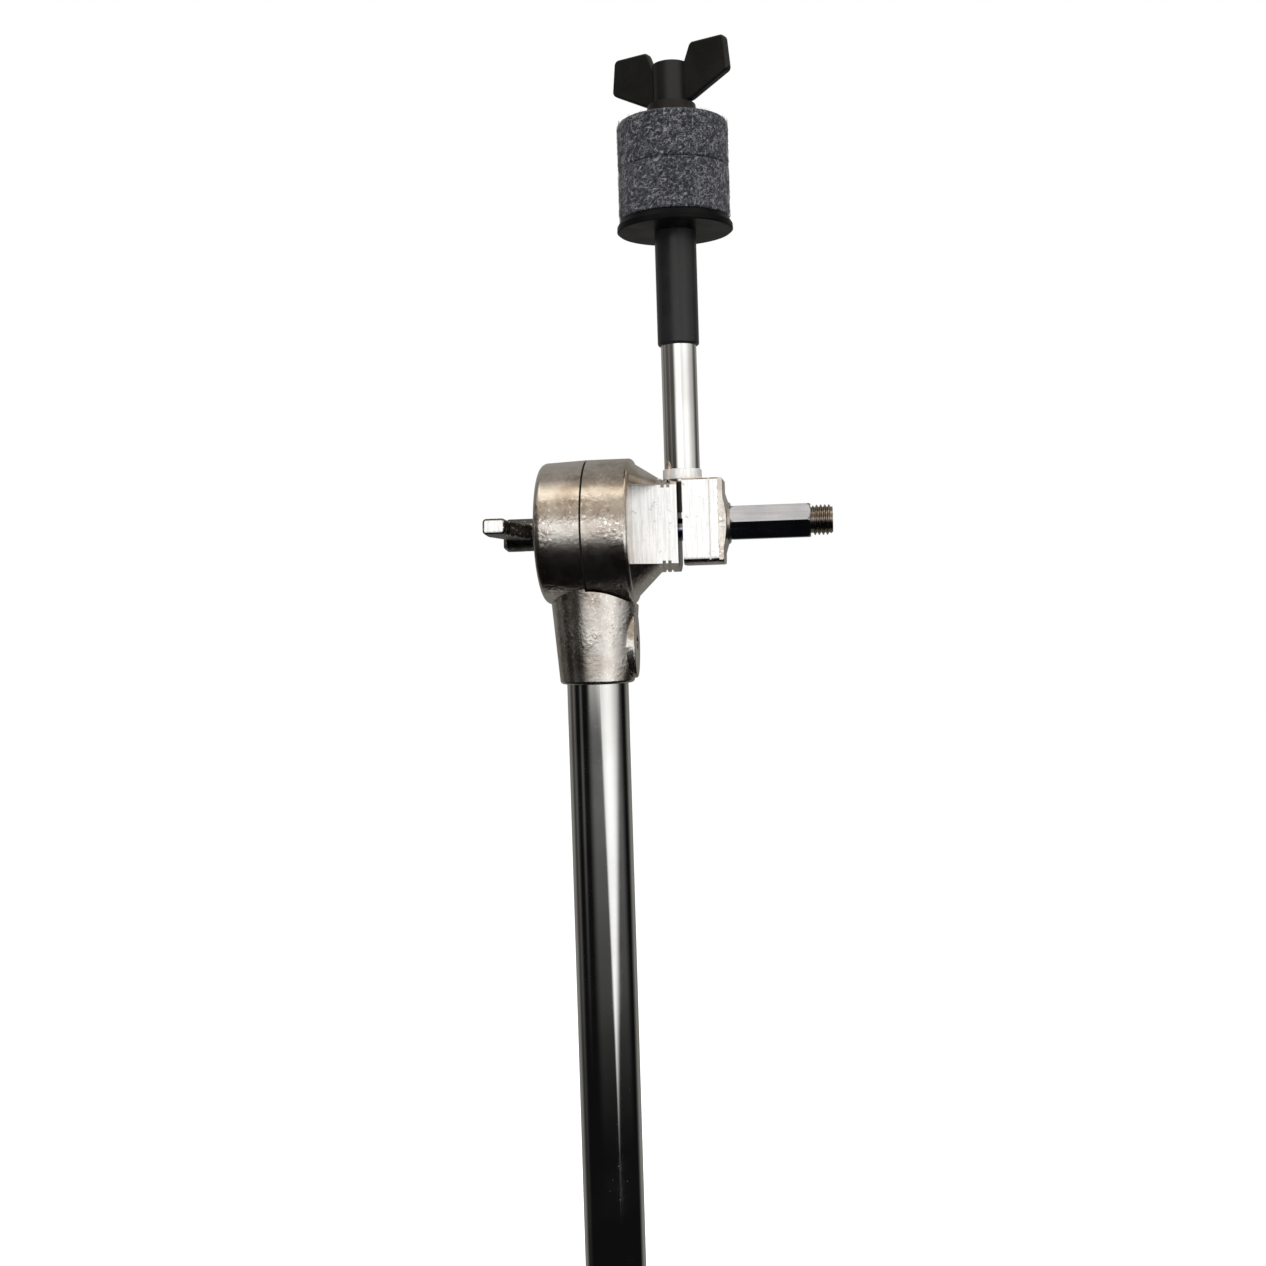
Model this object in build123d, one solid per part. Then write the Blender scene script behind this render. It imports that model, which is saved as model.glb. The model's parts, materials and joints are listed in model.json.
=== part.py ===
from build123d import *

import math
import os

# A three-section cymbal boom stand: a double-braced tripod, three telescoping tubes and a friction tilter
# whose split clamp carries the cymbal post and a hex accessory stud.
# Millimetres. Origin on the floor, on the axis of the tubes. +Z up, the tilter turns about +X.

os.makedirs("parts", exist_ok=True)

# ---- driving dimensions -------------------------------------------------------------------------
WALL = 1.2                      # wall of all three tubes
LOWER_R, MIDDLE_R, UPPER_R = 14.3, 12.7, 11.1
TILT_Z = 815.0                  # height of the tilter's axis with both tubes at their rest height

LEG_ANGLES = (30.0, 150.0, 270.0)
PIVOT_R = 26.0                  # radius of the leg and stay pivots from the tube's axis
STAY_PIVOT_Z = 39.0
STAY = 165.0                    # a stay's length, and the distance from a leg's top pivot to its stay pivot
LEG = 358.0                     # a leg's length between its top pivot and its foot point
SPREAD = 51.8                   # a leg's angle from vertical when the tripod is open, degrees
BAR_W, BAR_T = 14.0, 2.5        # flat bar of the legs
STAY_W = 12.0
LEG_GAP, STAY_GAP = 7.5, 4.6    # half the gap between the two bars of a leg, and of a stay
PIN_R, PIN_CLEAR = 3.0, 0.1

EDGE_ROUND = 0.24               # rounding of a wing's edges, as a share of its thickness
CLAMP_H, CLAMP_GRIP, CLAMP_WALL = 44.0, 22.0, 5.2
LOWER_CLAMP_Z, UPPER_CLAMP_Z = 430.0, 490.0
BUSH_WALL, BUSH_CLEAR = 1.6, 0.06

DISC_R = 26.1                   # tilter discs
DISC_LEFT, DISC_RIGHT = -17.8, 15.5
DISC_SPLIT, DISC_GAP = -0.9, 0.7
NECK_R, NECK_RISE = 16.8, 1.7   # the neck's axis lies NECK_RISE above the tilt axis
CONE_END = 24.5                 # where the cone between the moving disc and the neck ends
FLAT_Y, FLAT_HALF = 9.5, 13.9   # the flats' distance from the tilter's middle plane, and half their height
GROOVES, GROOVE_R = ((25.8, 27.0), (27.8, 29.0)), 16.0
JAW_END, CAP_START, CAP_END = 31.4, 33.3, 47.5
CAP_LOW, CAP_HIGH = -12.9, 17.5
CAP_STEPS = ((42.5, 0.5, 0.35), (45.9, 2.5, 0.4))     # start, width and depth of the steps in its flats
BOLT_END = 44.9                 # right end of the draw bolt, inside the cap
BOLT_R = 4.0
SOCKET_BOTTOM, SOCKET_R, SOCKET_SLOPE = -54.3, 13.4, 0.082
PAD_Z, PAD_END = -40.0, 14.9    # raised pad on the socket's right side for the set screw
SET_SCREW_R = 2.45
HEX_FLATS, HEX_START, HEX_END, STUD_END, STUD_R = 11.8, 49.7, 78.1, 85.9, 5.4
STUD_SPIGOT_R, SPIGOT_START = 3.4, 45.9

POST_X, POST_R, COLLAR_R = 32.9, 6.35, 7.9
POST_FOOT, POST_SHOULDER, POST_TOP = 6.5, 104.0, 163.0
ROD_R = 4.0                     # M8 rod at the top of the post
SLEEVE_FOOT, SLEEVE_R = 65.5, 7.4
SEAT_Z, SEAT_T, SEAT_R = 105.9, 4.3, 20.7
FELT_R, FELT_HOLE = 19.7, 6.2
FELT_SPLIT, FELT_TOP = 127.9, 144.4
TUBE_SEAT = -28.5               # top of the upper tube inside the tilter's socket


# ---- shapes used by more than one part ----------------------------------------------------------
def rod(radius, low, high):
    """Cylinder on the Z axis between two heights."""
    return Pos(0, 0, low) * Cylinder(radius, high - low, align=(Align.CENTER, Align.CENTER, Align.MIN))


def ring(outer, inner, low, high):
    """Hollow cylinder on the Z axis."""
    return rod(outer, low, high) - rod(inner, low - 1, high + 1)


def turned(points, about_x=True):
    """Solid of revolution. Points are (along, radius) pairs; four numbers are an arc's end and middle."""
    edges = []
    start = points[0]
    for point in points[1:]:
        if len(point) == 4:
            edges.append(ThreePointArc(start[:2], point[2:], point[:2]))
        else:
            edges.append(Line(start[:2], point))
        start = point[:2]
    edges.append(Line(start, points[0]))
    solid = revolve(make_face(Curve() + edges), Axis.X)
    return solid if about_x else Rot(0, -90, 0) * solid


def on_x(shape):
    """Turns a shape built on the Z axis so that it lies on the X axis."""
    return Rot(0, 90, 0) * shape


def block(low, high):
    """Box between two corners."""
    size = [b - a for a, b in zip(low, high)]
    centre = [(a + b) / 2 for a, b in zip(low, high)]
    return Pos(*centre) * Box(*size)


def save(name, shape):
    export_step(shape, f"parts/{name}.step")


def wing(hub_r, hub_low, hub_high, outline, thickness, corner):
    """Wing head on the Z axis: a hub and two blades in the XZ plane. outline is (radius, height) pairs."""
    blade = make_face(Polyline(*outline, close=True))
    blade = fillet(blade.vertices().filter_by_position(Axis.X, hub_r + 1, 100), corner)
    plate = extrude(Plane.XZ * blade, thickness / 2, both=True)
    plate = fillet(plate.faces().filter_by(Axis.Y).edges(), EDGE_ROUND * thickness)
    return rod(hub_r, hub_low, hub_high) + plate + Rot(0, 0, 180) * plate


# ---- telescoping tubes and their clamps ---------------------------------------------------------
MIDDLE_FOOT, LOWER_FOOT = 70.0, 5.0
UPPER_TOP, UPPER_LENGTH = TILT_Z + TUBE_SEAT, 520.0
LOWER_TOP = LOWER_CLAMP_Z + CLAMP_GRIP
MIDDLE_TOP = UPPER_CLAMP_Z + CLAMP_GRIP


def tubes():
    save("lower_tube", ring(LOWER_R, LOWER_R - WALL, LOWER_FOOT, LOWER_TOP))
    save("middle_tube", ring(MIDDLE_R, MIDDLE_R - WALL, MIDDLE_FOOT, MIDDLE_TOP))
    save("upper_tube", ring(UPPER_R, UPPER_R - WALL, UPPER_TOP - UPPER_LENGTH, UPPER_TOP))


EAR_OUT, EAR_T, EAR_H, EAR_CORNER, SLIT = 15.0, 7.0, 18.0, 7.5, 2.4
EAR_DROP = 3.0                  # top of the ears below the top of the clamp
WING_SCREW_BLADE = ((3, 3), (6.5, 4), (18, 12.5), (19, 22), (10, 22), (5, 14.5), (3, 14.5))
SCREW_R, SCREW_OUT = 3.0, 6.5   # clamp screw, and its distance outside the clamp's wall
NUT_R, NUT_H, NUT_SINK = 5.75, 4.6, 3.5


def wing_screw(shank):
    """Wing screw on the Z axis with its head above the origin and a shank of the given length below."""
    return wing(6.2, 0, 15, WING_SCREW_BLADE, 4.4, 1.6) + rod(SCREW_R, -shank, 1)


def clamp(name, outer_r, inner_r, foot):
    """Split clamp on the top of the tube of radius outer_r, which grips the tube of radius inner_r."""
    wall_r = outer_r + CLAMP_WALL
    bush_r = inner_r + BUSH_CLEAR + BUSH_WALL
    screw_y = -(wall_r + SCREW_OUT)
    screw_z = CLAMP_H - EAR_H / 2 - EAR_DROP
    ear_y, ear_x = -wall_r - EAR_OUT, EAR_T + SLIT / 2
    body = rod(wall_r, 0, CLAMP_H)
    body = chamfer(body.edges().filter_by(GeomType.CIRCLE), 1.0)
    ear = block((-ear_x, ear_y, screw_z - EAR_H / 2), (ear_x, -wall_r + 3, screw_z + EAR_H / 2))
    ear = fillet(ear.edges().filter_by(Axis.X).sort_by(Axis.Y)[:2], EAR_CORNER)
    body = body + ear
    body = body - rod(outer_r + 0.03, -1, CLAMP_GRIP)
    body = body - rod(bush_r + BUSH_CLEAR, CLAMP_GRIP - 0.1, CLAMP_H + 1)
    body = body - block((-SLIT / 2, ear_y - 1, CLAMP_GRIP + 0.2), (SLIT / 2, -inner_r, CLAMP_H + 1))
    body = body - block((-SLIT / 2, ear_y - 1, 0), (SLIT / 2, -wall_r - 0.5, CLAMP_H + 1))
    body = body - Pos(0, screw_y, screw_z) * on_x(rod(SCREW_R + 0.2, -20, 20))
    pocket = on_x(extrude(RegularPolygon(NUT_R + 0.15, 6), NUT_SINK + 0.5))
    body = body - Pos(ear_x - NUT_SINK - 0.1, screw_y, screw_z) * pocket
    save(name, Pos(0, 0, foot) * body)

    nut = on_x(extrude(RegularPolygon(NUT_R, 6), NUT_H)) - on_x(rod(SCREW_R + 0.08, -1, NUT_H + 1))
    save(name + "_nut", Pos(ear_x - NUT_SINK, screw_y, screw_z + foot) * nut)

    flange = ring(wall_r - 1.2, inner_r + BUSH_CLEAR, CLAMP_H + 0.05, CLAMP_H + 2.0)
    bush = ring(bush_r, inner_r + BUSH_CLEAR, CLAMP_GRIP + 0.3, CLAMP_H + 1.0) + flange
    save(name + "_bush", Pos(0, 0, foot) * bush)

    screw = Rot(0, -90, 0) * Rot(0, 0, 25) * (wing_screw(23.5) + rod(8.0, 0, 1.6))
    save(name + "_wing_screw", Pos(-ear_x - 0.1, screw_y, screw_z + foot) * screw)


# ---- tripod -------------------------------------------------------------------------------------
LEG_TOP_Z = STAY_PIVOT_Z + 2 * STAY * math.cos(math.radians(SPREAD))
SIN, COS = math.sin(math.radians(SPREAD)), math.cos(math.radians(SPREAD))
FOOT_R, FOOT_Z = PIVOT_R + LEG * SIN, LEG_TOP_Z - LEG * COS
KNEE_R, KNEE_Z = PIVOT_R + STAY * SIN, LEG_TOP_Z - STAY * COS


def radial(angle, shape):
    """Turns a shape drawn in the XZ plane so that +X points along a leg's direction."""
    return Rot(0, 0, angle) * shape


def bar(length, width, inner, holes):
    """Flat bar along +X from the origin, lying outside Y = inner, with round ends and pivot holes."""
    plate = block((0, inner, -width / 2), (length, inner + BAR_T, width / 2))
    for end in (0, length):
        plate = plate + Pos(end, inner + BAR_T / 2, 0) * Rot(90, 0, 0) * Cylinder(width / 2, BAR_T)
    hole_tool = Rot(90, 0, 0) * Cylinder(PIN_R + PIN_CLEAR, BAR_T * 2)
    for hole in holes:
        plate = plate - Pos(hole, inner + BAR_T / 2, 0) * hole_tool
    return plate


def other_side(shape):
    """The same bar on the other side of the leg's plane."""
    return mirror(shape, Plane.XZ)


def pin(half_width, head_r=5.0, head_t=1.5):
    """Rivet across a leg's plane, centred on the origin, with a domed head outside each bar."""
    shaft = Rot(90, 0, 0) * Cylinder(PIN_R, 2 * half_width + 0.4)
    for side in (1, -1):
        head = chamfer(rod(head_r, 0, head_t).edges().group_by(Axis.Z)[-1], 0.9)
        shaft = shaft + Pos(0, side * (half_width + 0.1), 0) * Rot(-90 * side, 0, 0) * head
    return shaft


def half_rivets():
    """Two short rivets, one in each bar of a stay's lower end, that stop at the collar's ear."""
    rivet = rod(PIN_R, 0.05, BAR_T + 0.3) + Pos(0, 0, BAR_T + 0.1) * chamfer(
        rod(4.6, 0, 1.2).edges().group_by(Axis.Z)[-1], 0.7)
    return Compound(children=[Pos(0, side * STAY_GAP, 0) * Rot(-90 * side, 0, 0) * rivet for side in (1, -1)])


def leg_bar():
    """Leg bar in place: it runs down and outwards from the leg collar's pivot."""
    bar_shape = bar(LEG, BAR_W, LEG_GAP, (0, STAY))
    return Pos(PIVOT_R, 0, LEG_TOP_Z) * Rot(0, 90 - SPREAD, 0) * bar_shape


def stay_bar():
    """Stay bar in place: it runs up and outwards from the stay collar's pivot to the knee."""
    bar_shape = bar(STAY, STAY_W, STAY_GAP, (0, STAY))
    return Pos(PIVOT_R, 0, STAY_PIVOT_Z) * Rot(0, SPREAD - 90, 0) * bar_shape


def foot():
    """Rubber boot on the end of a leg, with a flat tread on the floor."""
    half_t = LEG_GAP + BAR_T + 3.0
    outline = Polyline((-12, 0), (13, 0), (18, 6), (16, 22), (5, 34), (-5, 37), (-23, 33), (-21, 20),
                       close=True)
    outline = Pos(FOOT_R, 0, 0) * Plane.XZ * make_face(outline)
    boot = extrude(outline, half_t, both=True)
    boot = fillet(boot.edges().filter_by(Axis.Y).sort_by(Axis.Z)[2:], 3.0)
    boot = chamfer(boot.faces().sort_by(Axis.Z)[0].edges(), 1.0)
    return boot - leg_bar() - other_side(leg_bar())


def collar(low, high, outer, ear_half, pivot_z):
    """Ring on the lower tube with an ear for each leg."""
    body = rod(outer, low, high)
    for angle in LEG_ANGLES:
        ear = block((0, -ear_half, pivot_z - 6.5), (PIVOT_R, ear_half, pivot_z + 6.5))
        ear = ear + Pos(PIVOT_R, 0, pivot_z) * Rot(90, 0, 0) * Cylinder(6.5, 2 * ear_half)
        hole = Pos(PIVOT_R, 0, pivot_z) * Rot(90, 0, 0) * Cylinder(PIN_R + 0.02, 40)
        body = body + radial(angle, ear) - radial(angle, hole)
    return body


COLLAR_SCREW_ANGLE, COLLAR_BOSS = 210.0, 27.0         # locking screw of the leg collar
STAY_COLLAR_R, LEG_COLLAR_R, SPACER_AT = 18.2, 19.0, 0.78


def tripod():
    for index, angle in enumerate(LEG_ANGLES, start=1):
        save(f"leg_{index}_right", radial(angle, leg_bar()))
        save(f"leg_{index}_left", radial(angle, other_side(leg_bar())))
        save(f"stay_{index}_right", radial(angle, stay_bar()))
        save(f"stay_{index}_left", radial(angle, other_side(stay_bar())))
        save(f"knee_rivet_{index}", radial(angle, Pos(KNEE_R, 0, KNEE_Z) * pin(LEG_GAP + BAR_T)))
        save(f"stay_rivets_{index}", radial(angle, Pos(PIVOT_R, 0, STAY_PIVOT_Z) * half_rivets()))
        save(f"foot_{index}", radial(angle, foot()))
        spacer_at = Pos(PIVOT_R + SPACER_AT * LEG * SIN, 0, LEG_TOP_Z - SPACER_AT * LEG * COS)
        spacer = Rot(90, 0, 0) * Cylinder(4.0, 2 * LEG_GAP - 0.04)
        save(f"leg_spacer_{index}", radial(angle, spacer_at * spacer))

    top_pins = [radial(a, Pos(PIVOT_R, 0, LEG_TOP_Z) * pin(LEG_GAP + BAR_T)) for a in LEG_ANGLES]
    save("leg_collar_rivets", Compound(children=top_pins))

    stay_collar = collar(STAY_PIVOT_Z - 9, STAY_PIVOT_Z + 9, STAY_COLLAR_R, STAY_GAP - 0.2, STAY_PIVOT_Z)
    save("stay_collar", stay_collar - rod(LOWER_R + 0.03, 0, 100))

    low, high = LEG_TOP_Z - 10, LEG_TOP_Z + 24
    leg_collar = collar(low, high, LEG_COLLAR_R, LEG_GAP - 0.3, LEG_TOP_Z)
    boss_z = LEG_TOP_Z + 13
    boss = Pos(0, 0, boss_z) * on_x(rod(8.0, 0, COLLAR_BOSS))
    bore = Pos(0, 0, boss_z) * on_x(rod(SCREW_R + 0.1, 0, COLLAR_BOSS + 1))
    leg_collar = leg_collar + radial(COLLAR_SCREW_ANGLE, boss) - rod(LOWER_R + 0.35, low - 1, high + 1)
    save("leg_collar", leg_collar - radial(COLLAR_SCREW_ANGLE, bore))

    screw = Pos(COLLAR_BOSS + 0.3, 0, boss_z) * on_x(wing_screw(12.8))
    save("leg_collar_wing_screw", radial(COLLAR_SCREW_ANGLE, screw))

    cap = rod(17.0, 0, 18)
    cap = fillet(cap.edges().filter_by(GeomType.CIRCLE), 1.5)
    save("tube_end_cap", cap - rod(LOWER_R + 0.03, LOWER_FOOT - 0.02, 30))


# ---- tilter -------------------------------------------------------------------------------------
def tilter(shape):
    """Lifts a shape built round the tilter's own axis to its place on the stand."""
    return Pos(0, 0, TILT_Z) * shape


SPRING_POCKET_R, SPRING_LEFT, SPRING_RIGHT = 8.2, -9.0, 5.0
LEFT_FACE, RIGHT_FACE = DISC_SPLIT - DISC_GAP / 2, DISC_SPLIT + DISC_GAP / 2


def tilter_socket():
    """Fixed half: a disc with a socket for the upper tube, hollowed above it to clear the moving disc."""
    disc = turned(((DISC_LEFT, 0), (DISC_LEFT, DISC_R - 3.4), (DISC_LEFT + 2.6, DISC_R - 0.6,
                   DISC_LEFT + 0.8, DISC_R - 1.4), (LEFT_FACE, DISC_R), (LEFT_FACE, 0)))
    height = -12.0 - SOCKET_BOTTOM
    cone = Pos(0, 0, SOCKET_BOTTOM) * Cone(SOCKET_R, SOCKET_R + SOCKET_SLOPE * height, height,
                                           align=(Align.CENTER, Align.CENTER, Align.MIN))
    cone = fillet(cone.edges().sort_by(Axis.Z)[:1], 1.3)
    pad = Pos(0, 0, PAD_Z) * on_x(extrude(Ellipse(12.8, 8.4), PAD_END))
    pad = fillet(pad.edges().sort_by(Axis.X)[-1:], 0.8)
    saddle = on_x(rod(DISC_R + 0.7, LEFT_FACE, 40))
    body = disc + (cone + pad - saddle)
    body = body - rod(UPPER_R + 0.03, SOCKET_BOTTOM - 1, TUBE_SEAT + 0.02)
    body = body - on_x(rod(BOLT_R + 0.3, -30, 10)) - on_x(rod(SPRING_POCKET_R, SPRING_LEFT, 0))
    return body - Pos(0, 0, PAD_Z) * on_x(rod(SET_SCREW_R + 0.05, 8, 20))


def tilter_arm():
    """Moving half: a disc, a cone, and a neck with two flats that ends in the clamp's fixed jaw."""
    body = turned(((RIGHT_FACE, 0), (RIGHT_FACE, DISC_R), (DISC_RIGHT - 1.8, DISC_R),
                   (DISC_RIGHT, DISC_R - 1.8, DISC_RIGHT - 0.5, DISC_R - 0.5), (DISC_RIGHT, 0)))
    cone_foot = Plane(origin=(DISC_RIGHT - 0.5, 0, 0), z_dir=(1, 0, 0)) * Circle(DISC_R - 1.5)
    cone_end = Plane(origin=(CONE_END, 0, NECK_RISE), z_dir=(1, 0, 0)) * Circle(NECK_R)
    body = body + loft([cone_foot, cone_end])
    neck = rod(NECK_R, 10, JAW_END)
    for start, end in GROOVES:
        neck = neck - ring(NECK_R + 1, GROOVE_R, start, end)
    body = body + Pos(0, 0, NECK_RISE) * on_x(neck)
    for side in (1, -1):
        low, high = sorted((side * FLAT_Y, side * 40))
        recess = block((DISC_RIGHT + 0.05, low, -FLAT_HALF), (40, high, FLAT_HALF))
        body = body - Pos(0, 0, NECK_RISE) * recess
    body = body - on_x(rod(BOLT_R + 0.3, -10, 40)) - on_x(rod(SPRING_POCKET_R, -5, SPRING_RIGHT))
    collar_seat = rod(COLLAR_R + 0.3, CAP_HIGH, 30)
    return body - Pos(POST_X, 0, 0) * (rod(POST_R + 0.05, POST_FOOT - 0.3, 40) + collar_seat)


def clamp_cap():
    """Loose jaw: a block that closes on the post from the right, with a boss for the hex stud."""
    body = block((CAP_START, -FLAT_Y, CAP_LOW), (CAP_END, FLAT_Y, CAP_HIGH))
    body = fillet(body.edges().filter_by(Axis.X).sort_by(Axis.Z)[:2], 3.0)
    body = fillet(body.edges().filter_by(Axis.X).sort_by(Axis.Z)[-2:], 0.8)
    body = fillet(body.faces().sort_by(Axis.X)[-1].edges(), 0.6)
    boss = turned(((45, 0), (45, 13.0), (47.4, 12.6), (48.9, 7.7, 48.3, 9.6), (HEX_START, 7.0),
                   (HEX_START, 0)))
    boss = Pos(0, 0, NECK_RISE) * boss
    body = body + (boss & block((44, -FLAT_Y + 0.8, -20), (60, FLAT_Y - 0.8, 30)))
    for side in (1, -1):
        for start, width, depth in CAP_STEPS:
            low, high = sorted((side * (FLAT_Y - depth), side * 20))
            body = body - block((start, low, -20), (start + width, high, 30))
    body = body - Pos(POST_X, 0, 0) * rod(POST_R + 0.02, POST_FOOT - 0.3, 40)
    body = body - on_x(rod(BOLT_R + 0.02, 20, BOLT_END + 0.1))
    return body - Pos(0, 0, NECK_RISE) * on_x(rod(STUD_SPIGOT_R + 0.02, SPIGOT_START - 0.1, 60))


def post_collar():
    """Stop ring on the post that rests on both jaws, with a flared root on the cap's side."""
    foot_z = CAP_HIGH + 0.05
    collar_shape = turned(((foot_z, 0), (foot_z, COLLAR_R), (18.9, 7.0, 18.1, 7.2), (21.2, 6.95),
                           (21.35, 6.8), (21.35, 0)), about_x=False)
    cap_side = rod(7.0, 0, 30) + block((0, -COLLAR_R, 0), (COLLAR_R, COLLAR_R, 30))
    return (collar_shape & cap_side) - rod(POST_R + 0.02, 0, 40)


def hex_stud():
    """Hex bar with a spigot in the clamp cap and a 7/16 inch threaded end."""
    hexagon = RegularPolygon(HEX_FLATS / 2, 6, major_radius=False, rotation=30)
    bar_shape = on_x(Pos(0, 0, HEX_START + 0.02) * extrude(hexagon, HEX_END - HEX_START - 0.02))
    dressing = turned(((HEX_START, 0), (HEX_START, 6.9), (HEX_END - 0.9, 6.9), (HEX_END, 5.9), (HEX_END, 0)))
    thread = on_x(rod(STUD_R, HEX_END - 1, STUD_END))
    thread = chamfer(thread.edges().sort_by(Axis.X)[-1:], 0.9)
    stud = (bar_shape & dressing) + thread + on_x(rod(STUD_SPIGOT_R, SPIGOT_START, HEX_START + 1))
    return Pos(0, 0, NECK_RISE) * stud


def spring():
    """Compression spring that pushes the two discs apart."""
    wire, radius = 0.7, 6.4
    low, high = SPRING_LEFT + wire + 0.1, SPRING_RIGHT - wire - 0.1
    helix = Helix(pitch=(high - low) / 4, height=high - low, radius=radius)
    section = Plane(origin=helix @ 0, z_dir=helix % 0) * Circle(wire)
    coil = sweep(section, path=helix)
    return on_x(Pos(0, 0, low) * coil)


def tilter_parts():
    save("tilter_socket", tilter(tilter_socket()))
    save("tilter_arm", tilter(tilter_arm()))
    save("clamp_cap", tilter(clamp_cap()))
    save("hex_stud", tilter(hex_stud()))
    save("post_collar", tilter(Pos(POST_X, 0, 0) * post_collar()))
    friction = on_x(ring(DISC_R - 0.7, SPRING_POCKET_R + 0.2, LEFT_FACE + 0.05, RIGHT_FACE - 0.05))
    save("friction_disc", tilter(friction))
    save("tilter_spring", tilter(spring()))
    save("draw_bolt", tilter(on_x(rod(BOLT_R, -31.0, BOLT_END))))
    save("tilter_washer", tilter(on_x(ring(9.0, BOLT_R + 0.3, DISC_LEFT - 1.2, DISC_LEFT - 0.02))))
    key_hole = extrude(Pos(0, 0, 13) * RegularPolygon(1.4, 6), 4)
    set_screw = rod(SET_SCREW_R, UPPER_R + 0.1, PAD_END - 0.4) - key_hole
    save("socket_set_screw", tilter(Pos(0, 0, PAD_Z) * on_x(set_screw)))

    outline = ((3, 2.0), (6.5, 2.2), (15.5, 8.2), (21.5, 9.2), (21.5, 17.2), (14.5, 17.0), (6.5, 11.6),
               (3, 11.6))
    wing_nut = wing(5.9, 0, 11.8, outline, 5.6, 1.4) + rod(8.2, 0, 1.2) - rod(BOLT_R + 0.06, -1, 30)
    wing_nut = Rot(0, -90, 0) * Rot(0, 0, 97) * wing_nut
    save("tilter_wing_nut", tilter(Pos(DISC_LEFT - 1.25, 0, 0) * wing_nut))


# ---- cymbal post --------------------------------------------------------------------------------
def post_parts():
    def place(shape):
        return tilter(Pos(POST_X, 0, 0) * shape)

    post = rod(POST_R, POST_FOOT, POST_SHOULDER) + rod(ROD_R, POST_SHOULDER - 1, POST_TOP)
    save("cymbal_post", place(chamfer(post.edges().sort_by(Axis.Z)[-1:], 0.8)))

    sleeve = rod(SLEEVE_R, SLEEVE_FOOT, SEAT_Z - 0.05) + rod(5.7, SEAT_Z - 1, FELT_TOP - 2)
    sleeve = fillet(sleeve.edges().sort_by(Axis.Z)[:1], 0.9)
    sleeve = sleeve - rod(POST_R + 0.03, SLEEVE_FOOT - 1, POST_SHOULDER + 0.03)
    sleeve = sleeve - rod(ROD_R + 0.15, 90, FELT_TOP)
    save("post_sleeve", place(sleeve))

    seat = turned(((SEAT_Z, 0), (SEAT_Z, SEAT_R - 0.6), (SEAT_Z + 0.5, SEAT_R), (SEAT_Z + 2.0, SEAT_R - 0.1),
                   (SEAT_Z + SEAT_T - 0.4, FELT_R - 0.2), (SEAT_Z + SEAT_T, FELT_R - 0.6),
                   (SEAT_Z + SEAT_T, 0)), about_x=False)
    save("seat_washer", place(seat - rod(5.75, 90, 130)))

    lower = fillet(rod(FELT_R, SEAT_Z + SEAT_T + 0.02, FELT_SPLIT).edges(), 0.8)
    save("lower_felt", place(lower - rod(FELT_HOLE, 90, 150)))
    upper = fillet(rod(FELT_R, FELT_SPLIT + 0.02, FELT_TOP).edges(), 1.2)
    save("upper_felt", place(upper - rod(FELT_HOLE, 90, 150)))

    base = FELT_TOP + 0.02
    outline = ((3, 5.2), (9.2, 7.1), (23.8, 14.4), (22.5, 26.7), (8.8, 26.7), (6.2, 20.4), (3, 20.4))
    skirt = Cone(9.5, 8.6, 6.2, align=(Align.CENTER, Align.CENTER, Align.MIN))
    nut = wing(6.4, 0, 20.6, outline, 3.2, 1.9) + skirt
    nut = nut - rod(ROD_R + 0.25, -1, 30) - extrude(RegularPolygon(6.0, 6), 11)
    save("wing_nut", place(Pos(0, 0, base) * Rot(0, 0, -25) * nut))
    insert = extrude(RegularPolygon(5.95, 6), 10.9) - rod(ROD_R + 0.06, -1, 20)
    save("wing_nut_insert", place(Pos(0, 0, base) * Rot(0, 0, -25) * insert))


tubes()
clamp("lower_clamp", LOWER_R, MIDDLE_R, LOWER_CLAMP_Z)
clamp("upper_clamp", MIDDLE_R, UPPER_R, UPPER_CLAMP_Z)
tripod()
tilter_parts()
post_parts()
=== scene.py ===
import json
import math
import random

import bpy
from mathutils import Matrix, Vector, noise


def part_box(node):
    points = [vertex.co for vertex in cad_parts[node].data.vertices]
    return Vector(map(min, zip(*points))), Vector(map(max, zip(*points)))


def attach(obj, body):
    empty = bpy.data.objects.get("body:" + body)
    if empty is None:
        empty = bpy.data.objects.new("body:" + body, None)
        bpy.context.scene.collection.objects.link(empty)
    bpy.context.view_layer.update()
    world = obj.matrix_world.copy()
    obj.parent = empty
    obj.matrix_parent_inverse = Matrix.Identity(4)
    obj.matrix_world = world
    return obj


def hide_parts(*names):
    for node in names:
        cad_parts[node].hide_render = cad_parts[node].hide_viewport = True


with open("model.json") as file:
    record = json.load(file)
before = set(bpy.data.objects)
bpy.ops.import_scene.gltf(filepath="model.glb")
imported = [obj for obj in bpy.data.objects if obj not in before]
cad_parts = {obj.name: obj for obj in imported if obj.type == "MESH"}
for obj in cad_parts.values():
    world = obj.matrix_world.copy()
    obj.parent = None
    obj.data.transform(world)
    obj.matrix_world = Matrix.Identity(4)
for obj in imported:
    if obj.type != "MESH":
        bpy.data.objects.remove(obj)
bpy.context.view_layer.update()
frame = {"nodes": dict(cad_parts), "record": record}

# A cymbal stand's looks: plated tubes and castings, black plastic, felt washers and rubber feet.
# Metres, in the CAD frame: +Z up, the tubes' axis at X = Y = 0, the tilter's axis along X.

MM = 0.001
TILT = (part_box("tilter_washer")[0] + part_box("tilter_washer")[1]) / 2
TILT_Z = TILT.z
POST_X = (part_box("cymbal_post")[0].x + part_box("cymbal_post")[1].x) / 2

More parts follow.
